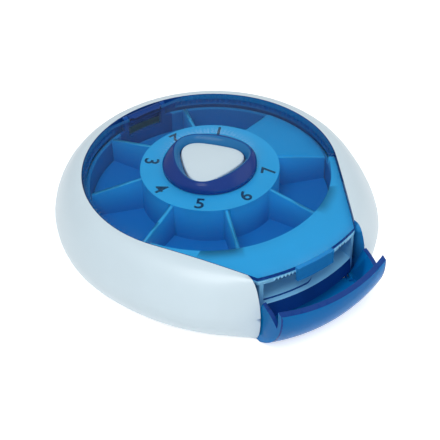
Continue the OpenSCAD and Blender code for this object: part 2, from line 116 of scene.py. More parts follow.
def even_shading(obj, degrees=30):
    """Smooth curved faces and flat plain ones, with the large faces leading at each edge."""
    smooth(obj, degrees)
    level_faces_sharp(obj)
    weigh = obj.modifiers.new("even shading", "WEIGHTED_NORMAL")
    weigh.keep_sharp = True
    weigh.weight = 60
    apply_modifiers(obj)


def paint_faces(obj, material, test):
    """Gives the faces that pass the test, by centre and normal, a material of their own."""
    obj.data.materials.append(material)
    index = len(obj.data.materials) - 1
    for face in obj.data.polygons:
        if test(face.center / MM, face.normal):
            face.material_index = index


def outward(c, n, share):
    """Whether a face at c looks away from the axis by more than the share."""
    return n.xy.dot(c.xy) > share * c.xy.length


def inward(c, n, share):
    return n.xy.dot(c.xy) < -share * c.xy.length


def apply_modifiers(obj):
    activate(obj)
    for modifier in list(obj.modifiers):
        bpy.ops.object.modifier_apply(modifier=modifier.name)


def copy_node(node, name, merge=0.004):
    """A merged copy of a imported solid."""
    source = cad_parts[node]
    obj = bpy.data.objects.new(name, source.data.copy())
    obj.data.materials.clear()
    bpy.context.scene.collection.objects.link(obj)
    activate(obj)
    bpy.ops.object.mode_set(mode="EDIT")
    bpy.ops.mesh.select_all(action="SELECT")
    bpy.ops.mesh.remove_doubles(threshold=merge * MM)
    bpy.ops.object.mode_set(mode="OBJECT")
    return obj


def round_edges(obj, width, degrees=35, segments=2):
    bevel = obj.modifiers.new("rounded edges", "BEVEL")
    bevel.width = width * MM
    bevel.segments = segments
    bevel.limit_method = "ANGLE"
    bevel.angle_limit = math.radians(degrees)
    bevel.use_clamp_overlap = True
    bevel.harden_normals = False
    apply_modifiers(obj)


def finish_piece(obj, body, slot, material, *nodes):
    obj.data.materials.clear()
    obj.data.materials.append(material)
    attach(obj, body)
    if nodes:
        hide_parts(*nodes)
    return obj


def ring_object(points, name):
    """A flat ring of vertices, drawn as a circle and moved onto the given points."""
    deselect_all()
    bpy.ops.mesh.primitive_circle_add(vertices=len(points), radius=MM, location=(0, 0, 0))
    obj = bpy.context.object
    for vertex, point in zip(obj.data.vertices, points):
        vertex.co = Vector(point) * MM
    obj.name = name
    return obj


def extrude_ring(obj, points):
    """Extrudes the selected open edge ring and moves it onto the given points, in turn order."""
    bpy.ops.mesh.extrude_region_move(TRANSFORM_OT_translate={"value": (0, 0, 0)})
    bm = bmesh.from_edit_mesh(obj.data)
    ring = sorted((v for v in bm.verts if v.select), key=lambda v: math.atan2(v.co.y, v.co.x))
    places = sorted(points, key=lambda p: math.atan2(p[1], p[0]))
    for vertex, point in zip(ring, places):
        vertex.co = Vector(point) * MM
    bmesh.update_edit_mesh(obj.data)


def select_faces(obj, test):
    """Selects the faces of the mesh in edit mode that pass the test."""
    bpy.ops.mesh.select_mode(type="FACE")
    bpy.ops.mesh.select_all(action="DESELECT")
    bm = bmesh.from_edit_mesh(obj.data)
    for face in bm.faces:
        if test(face):
            face.select_set(True)
    bm.select_flush_mode()
    bmesh.update_edit_mesh(obj.data)


def loft(rings, name, cap_start=False, cap_end=False):
    """Extrudes one ring of points after another, as a closed wall."""
    obj = ring_object(rings[0], name)
    activate(obj)
    bpy.ops.object.mode_set(mode="EDIT")
    bpy.ops.mesh.select_all(action="SELECT")
    for points in rings[1:]:
        extrude_ring(obj, points)
    if cap_end:
        bpy.ops.mesh.edge_face_add()
    bpy.ops.object.mode_set(mode="OBJECT")
    if cap_start:
        activate(obj)
        bpy.ops.object.mode_set(mode="EDIT")
        bpy.ops.mesh.select_all(action="DESELECT")
        bm = bmesh.from_edit_mesh(obj.data)
        bm.verts.ensure_lookup_table()
        for vertex in list(bm.verts)[:len(rings[0])]:
            vertex.select = True
        bm.select_flush(True)
        bmesh.update_edit_mesh(obj.data)
        bpy.ops.mesh.edge_face_add()
        bpy.ops.object.mode_set(mode="OBJECT")
    activate(obj)
    bpy.ops.object.mode_set(mode="EDIT")
    bpy.ops.mesh.select_all(action="SELECT")
    bpy.ops.mesh.normals_make_consistent(inside=False)
    bpy.ops.object.mode_set(mode="OBJECT")
    return obj


# ---- materials ----

def material_tree(name):
    material = bpy.data.materials.get(name)
    if material:
        return material, None, None, None
    material = bpy.data.materials.new(name)
    material.use_nodes = True
    nodes = material.node_tree.nodes
    links = material.node_tree.links
    nodes.clear()
    output = nodes.new("ShaderNodeOutputMaterial")
    return material, nodes, links, output


def mottled(nodes, links, low, high, scale, detail=3.0):
    """A soft change between two colours over the piece."""
    place = nodes.new("ShaderNodeTexCoord")
    noise = nodes.new("ShaderNodeTexNoise")
    noise.inputs["Scale"].default_value = scale
    noise.inputs["Detail"].default_value = detail
    links.new(place.outputs["Object"], noise.inputs["Vector"])
    ramp = nodes.new("ShaderNodeValToRGB")
    ramp.color_ramp.elements[0].position = 0.35
    ramp.color_ramp.elements[1].position = 0.65
    ramp.color_ramp.elements[0].color = (*low, 1)
    ramp.color_ramp.elements[1].color = (*high, 1)
    links.new(noise.outputs["Fac"], ramp.inputs["Fac"])
    return place, noise, ramp


def fine_grain(nodes, links, place, scale, height):
    grain = nodes.new("ShaderNodeTexNoise")
    grain.inputs["Scale"].default_value = scale
    grain.inputs["Detail"].default_value = 2.0
    links.new(place.outputs["Object"], grain.inputs["Vector"])
    bump = nodes.new("ShaderNodeBump")
    bump.inputs["Strength"].default_value = 0.25
    bump.inputs["Distance"].default_value = height * MM
    links.new(grain.outputs["Fac"], bump.inputs["Height"])
    return bump


def plastic(name, colour, roughness=0.3, coat=0.0, grain=0.02, vary=0.03, deep=None,
            span=(0.0, 1.0), shine=0.5):
    """Moulded plastic: a hair of colour change, changing gloss and a fine moulded grain."""
    material, nodes, links, output = material_tree(name)
    if nodes is None:
        return material
    low = tuple(c * (1 - vary) for c in colour)
    high = tuple(min(1, c * (1 + vary)) for c in colour)
    place, noise, ramp = mottled(nodes, links, low, high, 60.0)
    shader = nodes.new("ShaderNodeBsdfPrincipled")
    shader.inputs["Specular IOR Level"].default_value = shine
    shader.inputs["Coat Weight"].default_value = coat
    shader.inputs["Coat Roughness"].default_value = 0.08
    # With deep given, the colour turns to the deep colour towards the low end of the span in
    # height: painted shade.
    if deep:
        parts = nodes.new("ShaderNodeSeparateXYZ")
        links.new(place.outputs["Object"], parts.inputs["Vector"])
        depth = nodes.new("ShaderNodeMapRange")
        depth.inputs["From Min"].default_value = span[0]
        depth.inputs["From Max"].default_value = span[1]
        links.new(parts.outputs["Z"], depth.inputs["Value"])
        blend = nodes.new("ShaderNodeMix")
        blend.data_type = "RGBA"
        blend.inputs[6].default_value = (*deep, 1)
        links.new(depth.outputs["Result"], blend.inputs[0])
        links.new(ramp.outputs["Color"], blend.inputs[7])
        links.new(blend.outputs[2], shader.inputs["Base Color"])
    else:
        links.new(ramp.outputs["Color"], shader.inputs["Base Color"])
    gloss = nodes.new("ShaderNodeMapRange")
    gloss.inputs["To Min"].default_value = roughness - 0.04
    gloss.inputs["To Max"].default_value = roughness + 0.04
    links.new(noise.outputs["Fac"], gloss.inputs["Value"])
    links.new(gloss.outputs["Result"], shader.inputs["Roughness"])
    bump = fine_grain(nodes, links, place, 2600.0, grain)
    links.new(bump.outputs["Normal"], shader.inputs["Normal"])
    links.new(shader.outputs["BSDF"], output.inputs["Surface"])
    return material


def clear_plastic(name, tint, colour, body, roughness=0.12, gloss=0.02, edge_gloss=0.4):
    """Tinted see-through plastic: light passes through in its tint, part is held as colour."""
    material, nodes, links, output = material_tree(name)
    if nodes is None:
        return material
    low = tuple(c * 0.96 for c in colour)
    place, noise, ramp = mottled(nodes, links, low, colour, 45.0)
    clear = nodes.new("ShaderNodeBsdfTransparent")
    clear.inputs["Color"].default_value = (*tint, 1)
    solid = nodes.new("ShaderNodeBsdfPrincipled")
    solid.inputs["Roughness"].default_value = roughness
    solid.inputs["Specular IOR Level"].default_value = 0.05
    links.new(ramp.outputs["Color"], solid.inputs["Base Color"])
    bump = fine_grain(nodes, links, place, 900.0, 0.01)
    links.new(bump.outputs["Normal"], solid.inputs["Normal"])
    held = nodes.new("ShaderNodeMixShader")
    held.inputs["Fac"].default_value = body
    links.new(clear.outputs["BSDF"], held.inputs[1])
    links.new(solid.outputs["BSDF"], held.inputs[2])
    shine = nodes.new("ShaderNodeBsdfAnisotropic")
    shine.inputs["Roughness"].default_value = roughness
    shine.inputs["Color"].default_value = (1, 1, 1, 1)
    edge = nodes.new("ShaderNodeLayerWeight")
    edge.inputs["Blend"].default_value = 0.5
    steep = nodes.new("ShaderNodeMath")
    steep.operation = "POWER"
    steep.inputs[1].default_value = 4.5
    links.new(edge.outputs["Facing"], steep.inputs[0])
    share = nodes.new("ShaderNodeMath")
    share.operation = "MULTIPLY_ADD"
    share.inputs[1].default_value = edge_gloss
    share.inputs[2].default_value = gloss
    links.new(steep.outputs["Value"], share.inputs[0])
    glazed = nodes.new("ShaderNodeMixShader")
    links.new(share.outputs["Value"], glazed.inputs["Fac"])
    links.new(held.outputs["Shader"], glazed.inputs[1])
    links.new(shine.outputs["BSDF"], glazed.inputs[2])
    links.new(glazed.outputs["Shader"], output.inputs["Surface"])
    return material


def metal(name, colour, roughness=0.3, scratch=1800.0):
    """Bright drawn or stamped metal with fine scratches."""
    material, nodes, links, output = material_tree(name)
    if nodes is None:
        return material
    low = tuple(c * 0.88 for c in colour)
    place, noise, ramp = mottled(nodes, links, low, colour, 300.0)
    shader = nodes.new("ShaderNodeBsdfPrincipled")
    shader.inputs["Metallic"].default_value = 1.0
    links.new(ramp.outputs["Color"], shader.inputs["Base Color"])
    gloss = nodes.new("ShaderNodeMapRange")
    gloss.inputs["To Min"].default_value = roughness - 0.08
    gloss.inputs["To Max"].default_value = roughness + 0.1
    links.new(noise.outputs["Fac"], gloss.inputs["Value"])
    links.new(gloss.outputs["Result"], shader.inputs["Roughness"])
    bump = fine_grain(nodes, links, place, scratch, 0.01)
    links.new(bump.outputs["Normal"], shader.inputs["Normal"])
    links.new(shader.outputs["BSDF"], output.inputs["Surface"])
    return material


def casing_white(scene):
    return plastic("casing white", scene.dispenser.white, 0.36, coat=0.08, grain=0.006,
                   vary=0.012)


def button_white(scene):
    return plastic("button white", scene.dispenser.white, 0.38, grain=0.012, vary=0.01)


def sky_plastic(scene):
    return plastic("sky blue plastic", scene.dispenser.sky, 0.4, grain=0.012, vary=0.03,
                   shine=0.1)


def compartment_painted_shade(scene):
    """The carousel's walls and floors: a darker copy of the sky blue, with painted shade
    deepening it downwards.
    """
    return plastic("compartment painted shade", (0.045, 0.41, 0.82), 0.42, grain=0.012, vary=0.05,
                   deep=(0.006, 0.20, 0.54), span=(0.018, 0.031), shine=0.06)


def cover_blue(scene):
    return plastic("closed place blue", (0.055, 0.36, 0.68), 0.42, grain=0.012, vary=0.03,
                   shine=0.1)


def liner_painted_shade_blue(scene):
    """The liner round the carousel: sky blue on the deck, and painted shade darkening it down
    its wall.
    """
    return plastic("liner painted shade blue", scene.dispenser.sky, 0.4, grain=0.012, vary=0.03,
                   deep=(0.02, 0.17, 0.44), span=(0.0268, 0.0305), shine=0.1)


def outlet_blue(scene):
    return plastic("outlet blue", scene.dispenser.outlet, 0.34, grain=0.008, vary=0.04)


# Dark blue laid on faces that stand in shade: painted shade.
def painted_shade_blue(scene):
    return plastic("painted shade blue", (0.008, 0.065, 0.28), 0.4, grain=0.01, vary=0.12,
                   shine=0.08)


def cheek_painted_shade_blue(scene):
    # Blue cheek, darker towards the bottom of the span: painted shade.
    return plastic("cheek painted shade blue", (0.02, 0.24, 0.55), 0.3, grain=0.01, vary=0.15,
                   deep=(0.006, 0.10, 0.33), span=(0.012, 0.024), shine=0.15)


def clear_blue(scene):
    return clear_plastic("clear blue lid", scene.dispenser.lid_tint, scene.dispenser.clear, 0.03,
                         0.06, 0.005, 0.2)


def skirt_blue(scene):
    return clear_plastic("clear blue skirt", (0.30, 0.72, 0.93), (0.035, 0.26, 0.60), 0.6, 0.12,
                         0.006, 0.08)


def tab_blue(scene):
    return clear_plastic("clear blue tab", (0.30, 0.68, 0.92), (0.03, 0.33, 0.72), 0.5, 0.12,
                         0.006, 0.06)


def edge_indigo(scene):
    return clear_plastic("indigo edge", (0.14, 0.28, 0.66), (0.010, 0.055, 0.26), 0.9, 0.2,
                         0.003, 0.03)


def door_blue(scene):
    return clear_plastic("clear blue door", (0.07, 0.52, 0.88), (0.002, 0.235, 0.60), 0.6, 0.16,
                         0.004, 0.05)


def collar_indigo(scene):
    return clear_plastic("indigo collar", (0.10, 0.22, 0.62), scene.dispenser.indigo, 0.8, 0.14,
                         0.008, 0.08)


def navy_ink(scene):
    return plastic("navy ink", (0.006, 0.012, 0.06), 0.5, grain=0.004, vary=0.1)


def natural_acetal(scene):
    return plastic("natural acetal", (0.78, 0.78, 0.74), 0.42, grain=0.02, vary=0.02)


def spring_steel(scene):
    return metal("spring steel", (0.56, 0.57, 0.6), 0.3)


def foot_rubber(scene):
    return plastic("pad rubber", (0.016, 0.016, 0.018), 0.8, grain=0.06, vary=0.2)


# ---- settings ----

class DispenserSettings(bpy.types.PropertyGroup):
    white: FloatVectorProperty(
        name="Casing white", description="Colour of the casing and the button",
        subtype="COLOR", size=3, min=0, max=1, default=(0.62, 0.74, 0.81))
    sky: FloatVectorProperty(
        name="Sky blue", description="Colour of the carousel and its liner",
        subtype="COLOR", size=3, min=0, max=1, default=(0.13, 0.50, 0.82))
    outlet: FloatVectorProperty(
        name="Outlet blue", description="Colour of the open outlet's floor and sides",
        subtype="COLOR", size=3, min=0, max=1, default=(0.21, 0.53, 0.78))
    clear: FloatVectorProperty(
        name="Clear blue", description="Body colour of the lid and the door",
        subtype="COLOR", size=3, min=0, max=1, default=(0.012, 0.21, 0.52))
    lid_tint: FloatVectorProperty(
        name="Lid tint", description="Colour that each face of the lid lets through",
        subtype="COLOR", size=3, min=0, max=1, default=(0.68, 0.93, 0.985))
    indigo: FloatVectorProperty(
        name="Indigo", description="Colour of the collar round the button",
        subtype="COLOR", size=3, min=0, max=1, default=(0.012, 0.05, 0.27))
    figure_size: FloatProperty(
        name="Figure height", description="Height of the day numbers", subtype="DISTANCE",
        unit="LENGTH", min=0.003, max=0.009, default=0.0062)
    figure_ring: FloatProperty(
        name="Figure circle", description="Distance of the day numbers from the axis",
        subtype="DISTANCE", unit="LENGTH", min=0.022, max=0.03, default=0.0262)
    cap_mean: FloatProperty(
        name="Button radius", description="Mean radius of the three cornered button",
        subtype="DISTANCE", unit="LENGTH", min=0.012, max=0.015, default=0.0132)
    cap_corner: FloatProperty(
        name="Button corners", description="How far the button's corners stand out",
        subtype="DISTANCE", unit="LENGTH", min=0.0, max=0.003, default=0.0019)
    cap_turn: FloatProperty(
        name="Button turn", description="How far the button's rear corner is turned",
        subtype="ANGLE", unit="ROTATION", min=0.0, max=0.3, default=math.radians(7))
    floor_width: FloatProperty(
        name="Floor width", description="Width of the pale floor", subtype="DISTANCE",
        unit="LENGTH", min=0.5, max=10, default=4.0)


# ---- pieces ----

class DISPENSER_OT_casing(bpy.types.Operator):
    """Adds the two white halves of the casing"""
    bl_idname = "dispenser.casing"
    bl_label = "Casing"

    def execute(self, context):
        material = casing_white(context.scene)
        for node, name in (("upper_shell", "casing_top"), ("lower_shell", "casing_base")):
            obj = copy_node(node, name)
            smooth(obj, 30)
            finish_piece(obj, "base", "casing_white", material, node)
            paint_faces(obj, cheek_painted_shade_blue(context.scene), lambda c, n: c.y < -46 and
                        abs(c.x) < MOUTH_HALF and abs(n.x) > 0.9 and n.x * c.x < 0)
            # Painted shade: the casing's inner wall just under the lid's skirt is laid dark
            # blue.
            paint_faces(obj, painted_shade_blue(context.scene), lambda c, n: c.z > 25.5 and
                        n.z > -0.3 and inward(c, n, 0.3) and c.xy.length < 58)
            # Painted shade: the casing's inside near the rear hinge slot is laid dark blue.
            paint_faces(obj, painted_shade_blue(context.scene), lambda c, n: c.y > 44 and
                        abs(c.x) < 22 and c.z > 12 and n.z < 0.3 and c.xy.length < 64 and
                        n.xy.dot(c.xy) <= 0)
        return {"FINISHED"}


class DISPENSER_OT_carousel(bpy.types.Operator):
    """Adds the carousel and the fixed liner round it"""
    bl_idname = "dispenser.carousel"
    bl_label = "Carousel and liner"

    def execute(self, context):
        carousel = copy_node("tray", "carousel")
        even_shading(carousel)
        finish_piece(carousel, "carousel", "sky_plastic", sky_plastic(context.scene), "tray")
        # Painted shade: the walls and floors get a darker blue that deepens downwards.
        paint_faces(carousel, compartment_painted_shade(context.scene), lambda c, n: n.z < 0.7 or
                    c.z < 26)
        paint_faces(carousel, cover_blue(context.scene), lambda c, n: n.z > 0.7 and
                    c.z > 26 and c.x > 0 and abs(math.atan2(c.y, c.x)) < STEP / 2 and
                    c.xy.length > COVER_INNER)
        liner = copy_node("drum", "liner")
        even_shading(liner)
        finish_piece(liner, "base", "sky_plastic", liner_painted_shade_blue(context.scene), "drum")
        in_outlet = lambda c: c.y < OUTLET_BACK and abs(c.x) < 25 and c.z < 29.3
        paint_faces(liner, outlet_blue(context.scene), lambda c, n: in_outlet(c) or
                    (c.y < OUTLET_BACK and abs(c.x) < 26 and n.z < 0.5))
        # Painted shade: the liner's ears at the rear hinge slot are laid dark blue.
        paint_faces(liner, painted_shade_blue(context.scene), lambda c, n: c.y > 47 and
                    abs(c.x) < 14)
        # Painted shade: the apron under the outlet's sill and the step of the outlet's ledge are
        # laid dark blue.
        paint_faces(liner, painted_shade_blue(context.scene), lambda c, n: in_outlet(c) and
                    n.y < -0.2 and abs(n.z) < 0.5 and (c.z < 15.6 or c.y > -75) and
                    c.z < 17.6)
        return {"FINISHED"}


class DISPENSER_OT_figures(bpy.types.Operator):
    """Adds the plain day numbers on the carousel's ring"""
    bl_idname = "dispenser.figures"
    bl_label = "Day numbers"

    def execute(self, context):
        settings = context.scene.dispenser
        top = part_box("tray")[1].z
        for place, figure in ((1, "1"), (2, "2"), (3, "3"), (4, "4"), (5, "5"), (6, "6"),
                              (7, "7")):
            angle = place * STEP
            deselect_all()
            bpy.ops.object.text_add(location=(0, 0, 0))
            text = bpy.context.object
            text.data.body = figure
            text.data.align_x = "CENTER"
            text.data.align_y = "CENTER"
            text.data.size = settings.figure_size * 1.45
            text.data.extrude = 0.00004
            text.data.offset = 0.00016
            bpy.ops.object.convert(target="MESH")
            text = bpy.context.object
            text.rotation_euler = (0, 0, angle + math.radians(90))
            text.location = (settings.figure_ring * math.cos(angle),
                             settings.figure_ring * math.sin(angle), top + 0.00003)
            settle(text, "day_number_" + figure)
            finish_piece(text, "carousel", "sky_plastic", navy_ink(context.scene))
        return {"FINISHED"}


class DISPENSER_OT_lid(bpy.types.Operator):
    """Adds the clear crowned lid and its hinge pin"""
    bl_idname = "dispenser.lid"
    bl_label = "Lid"

    def execute(self, context):
        lid = copy_node("lid", "clear_lid")
        activate(lid)
        bpy.ops.object.shade_flat()
        finish_piece(lid, "lid", "clear_blue", clear_blue(context.scene), "lid")
        paint_faces(lid, skirt_blue(context.scene), lambda c, n: c.z < 32.0 and
                    53 < c.xy.length < 55.7 and (abs(n.z) < 0.5 or c.z < 30))
        paint_faces(lid, edge_indigo(context.scene), lambda c, n: abs(n.z) < 0.5 and
                    c.z > 30.5 and outward(c, n, 0.3) and c.xy.length > 30 and
                    c.y < -25)
        paint_faces(lid, skirt_blue(context.scene), lambda c, n: abs(n.z) < 0.5 and
                    c.z > 30.5 and outward(c, n, 0.3) and c.xy.length > 30 and
                    c.y >= -25)
        paint_faces(lid, tab_blue(context.scene), lambda c, n: c.y < -71.2 and abs(c.x) < 9.3)
        paint_faces(lid, edge_indigo(context.scene), lambda c, n: c.y > 50.2 and
                    abs(c.x) < 8.75)
        pin = copy_node("lid_hinge_pin", "hinge_pin")
        round_edges(pin, 0.15)
        smooth(pin)
        finish_piece(pin, "base", "steel", spring_steel(context.scene), "lid_hinge_pin")
        return {"FINISHED"}


def triangle_ring(mean, corner, height, count=CORNERS):
    """Points of a rounded triangle, one corner to the rear, in millimetres."""
    points = []
    for i in range(count):
        turn = 2 * math.pi * i / count
        radius = mean + corner * (math.cos(3 * turn) + 0.13 * math.cos(6 * turn))
        angle = turn + bpy.context.scene.dispenser.cap_turn
        points.append((-radius * math.sin(angle), radius * math.cos(angle), height))
    return points


class DISPENSER_OT_button(bpy.types.Operator):
    """Adds the three cornered button and the flared collar round it"""
    bl_idname = "dispenser.button"
    bl_label = "Button and collar"

    def execute(self, context):
        settings = context.scene.dispenser
        mean = settings.cap_mean / MM
        corner = settings.cap_corner / MM
        low, high = (v.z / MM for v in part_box("button_cap"))
        rings = [triangle_ring(mean + 1.6, corner, low),
                 triangle_ring(mean + 1.6, corner, low + 1.3),
                 triangle_ring(mean, corner, low + 1.3)]
        rings.append(triangle_ring(mean, corner, high - 1.15))
        for k in range(1, 6):
            a = math.radians(18 * k)
            rings.append(triangle_ring(mean - 0.75 * (1 - math.cos(a)), corner,
                                       high - 1.15 + 0.75 * math.sin(a)))
        for share in (0.75, 0.5, 0.25, 0.08):
            r = (mean - 0.75) * share
            rings.append(triangle_ring(r, corner * share * share,
                                       high - 0.4 + 0.35 * (1 - share * share)))
        cap = loft(rings, "button_key", True, True)
        smooth(cap, 40)
        finish_piece(cap, "button", "button_white", button_white(context.scene), "button_cap")

        low, high = (v.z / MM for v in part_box("button_surround"))
        foot = 20.6
        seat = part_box("lid")[1].z / MM - 0.75
        outer = [triangle_ring(foot, 0, low), triangle_ring(foot, 0, seat)]
        for k in range(1, 8):
            t = k / 7
            swell = 0.45 * math.sin(math.radians(180 * t))
            outer.append(triangle_ring(foot - 3.5 * t + swell, 1.45 * t ** 0.8,
                                       seat + (high - 0.2 - seat) * t))
        rim = [triangle_ring(16.95, 1.5, high - 0.03), triangle_ring(16.7, 1.5, high),
               triangle_ring(16.4, 1.55, high - 0.05)]
        inner = []
        for k in range(1, 7):
            t = k / 6
            inner.append(triangle_ring(16.25 - (16.25 - mean - 0.45) * t ** 0.8,
                                       1.6 + 0.3 * t, high - 0.25 - (high - 36.9) * t ** 1.3))
        inner.append(triangle_ring(mean + 0.42, corner, low))
        collar = loft(outer + rim + inner + [outer[0]], "button_collar")
        activate(collar)
        bpy.ops.object.mode_set(mode="EDIT")
        bpy.ops.mesh.select_all(action="SELECT")
        bpy.ops.mesh.remove_doubles(threshold=0.002 * MM)
        bpy.ops.mesh.normals_make_consistent(inside=False)
        bpy.ops.object.mode_set(mode="OBJECT")
        smooth(collar, 40)
        finish_piece(collar, "lid", "deep_blue", collar_indigo(context.scene), "button_surround")
        paint_faces(collar, skirt_blue(context.scene), lambda c, n: c.z > 36.5 and
                    inward(c, n, 0.1))
        paint_faces(collar, edge_indigo(context.scene), lambda c, n: c.z > high - 0.28)
        return {"FINISHED"}


def round_door_ends(door):
    """Rounds the outer edges of the scoop's two ends."""
    activate(door)
    bpy.ops.object.mode_set(mode="EDIT")
    bpy.ops.mesh.select_mode(type="EDGE")
    bpy.ops.mesh.select_all(action="DESELECT")
    bm = bmesh.from_edit_mesh(door.data)
    end = max(v.co.x for v in bm.verts)
    for edge in bm.edges:
        if len(edge.link_faces) != 2:
            continue
        sides = sorted(abs(face.normal.x) for face in edge.link_faces)
        outer = min(abs(v.co.x) for v in edge.verts) > end - 0.00002
        if outer and sides[0] < 0.5 and sides[1] > 0.95 and edge.verts[0].co.y < -0.068:
            edge.select_set(True)
    bmesh.update_edit_mesh(door.data)
    bpy.ops.mesh.bevel(offset=0.55 * MM, segments=2, affect="EDGES", clamp_overlap=True)
    bpy.ops.object.mode_set(mode="OBJECT")


class DISPENSER_OT_door(bpy.types.Operator):
    """Adds the scoop door and its hinge pins"""
    bl_idname = "dispenser.door"
    bl_label = "Scoop door"

    def execute(self, context):
        door = copy_node("door", "scoop_door")
        even_shading(door)
        finish_piece(door, "door", "clear_blue", door_blue(context.scene), "door")
        round_door_ends(door)
        rim = Vector((0, -math.sin(DOOR_OPEN), math.cos(DOOR_OPEN)))
        paint_faces(door, edge_indigo(context.scene), lambda c, n: 0.25 < abs(n.x) < 0.97 and
                    abs(c.x) > 26.4 and c.y < -68)
        paint_faces(door, edge_indigo(context.scene), lambda c, n: n.dot(rim) > 0.95 and
                    (c - DOOR_HINGE).dot(rim) > 25)
        paint_faces(door, edge_indigo(context.scene), lambda c, n: abs(n.x) < 0.3 and
                    abs(c.x) > 25.2 and n.z > 0 and
                    19 < math.hypot(c.y - DOOR_HINGE.y, c.z - DOOR_HINGE.z) < 20.2)
        pins = copy_node("door_pins", "door_hinge_pins")
        round_edges(pins, 0.15)
        smooth(pins)
        finish_piece(pins, "base", "steel", spring_steel(context.scene), "door_pins")
        return {"FINISHED"}


class DISPENSER_OT_mechanism(bpy.types.Operator):
    """Adds the plunger, the drive and the springs under the button"""
    bl_idname = "dispenser.mechanism"
    bl_label = "Mechanism"

    def execute(self, context):
        scene = context.scene
        acetal = natural_acetal(scene)
        steel = spring_steel(scene)
        for node, name, body, material, slot in (
                ("plunger", "plunger_stem", "plunger", acetal, "acetal"),
                ("drive_cam", "spiral_sleeve", "cam", acetal, "acetal"),
                ("tray_washer", "bearing_washer", "base", acetal, "acetal"),
                ("drive_pawl", "drive_arms", "cam", steel, "steel"),
                ("centre_post", "guide_post", "base", steel, "steel"),
                ("detent_spring", "leaf_spring", "base", steel, "steel"),
                ("detent_screw", "leaf_screw", "base", steel, "steel")):
            obj = copy_node(node, name)
            smooth(obj)
            finish_piece(obj, body, slot, material, node)
        low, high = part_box("plunger_spring")
        deselect_all()
        wire = 0.25 * MM
        turns = 7
        curve = bpy.data.curves.new("coil_spring", "CURVE")
        curve.dimensions = "3D"
        curve.bevel_depth = wire
        curve.bevel_resolution = 3
        curve.use_fill_caps = True
        spline = curve.splines.new("NURBS")
        count = turns * 16
        spline.points.add(count)
        radius = high.x - wire
        for i in range(count + 1):
            turn = 2 * math.pi * i / 16
            z = low.z + wire + (high.z - low.z - 2 * wire) * i / count
            spline.points[i].co = (radius * math.cos(turn), radius * math.sin(turn), z, 1)
        spline.use_endpoint_u = True
        spline.order_u = 3
        coil = bpy.data.objects.new("coil_spring", curve)
        scene.collection.objects.link(coil)
        activate(coil)
        bpy.ops.object.convert(target="MESH")
        coil = bpy.context.object
        settle(coil, "coil_spring")
        smooth(coil, 60)
        finish_piece(coil, "base", "steel", steel, "plunger_spring")
        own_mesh(coil)
        return {"FINISHED"}


def cross_screw(name, place, head_low, head_high, head_r, shank_r, shank_top):
    """A screw seen from below: a rounded head with a cross recess, and a plain shank."""
    deselect_all()
    bpy.ops.mesh.primitive_cylinder_add(vertices=40, radius=head_r * MM,
                                        depth=(head_high - head_low) * MM,
                                        location=(0, 0, (head_low + head_high) / 2 * MM))
    screw = bpy.context.object
    settle(screw, name)
    bpy.ops.object.mode_set(mode="EDIT")
    select_faces(screw, lambda face: face.normal.z > 0.9)
    bpy.ops.mesh.inset(thickness=(head_r - shank_r) * MM)
    bpy.ops.mesh.extrude_region_move(
        TRANSFORM_OT_translate={"value": (0, 0, (shank_top - head_high) * MM)})
    select_faces(screw, lambda face: face.normal.z < -0.9)
    bpy.ops.mesh.bevel(offset=0.35 * MM, segments=3, affect="EDGES")
    bpy.ops.object.mode_set(mode="OBJECT")
    for turn in (0, 90):
        deselect_all()
        bpy.ops.mesh.primitive_cube_add(size=1, location=(0, 0, head_low * MM))
        blade = bpy.context.object
        blade.scale = (head_r * 1.1 * MM, 0.5 * MM, 1.1 * MM)
        blade.rotation_euler = (0, 0, math.radians(turn))
        settle(blade, "blade")
        cut = screw.modifiers.new("recess", "BOOLEAN")
        cut.operation = "DIFFERENCE"
        cut.object = blade
        apply_modifiers(screw)
        bpy.data.objects.remove(blade)
    screw.location = (place[0] * MM, place[1] * MM, 0)
    settle(screw, name)
    smooth(screw, 30)
    return screw


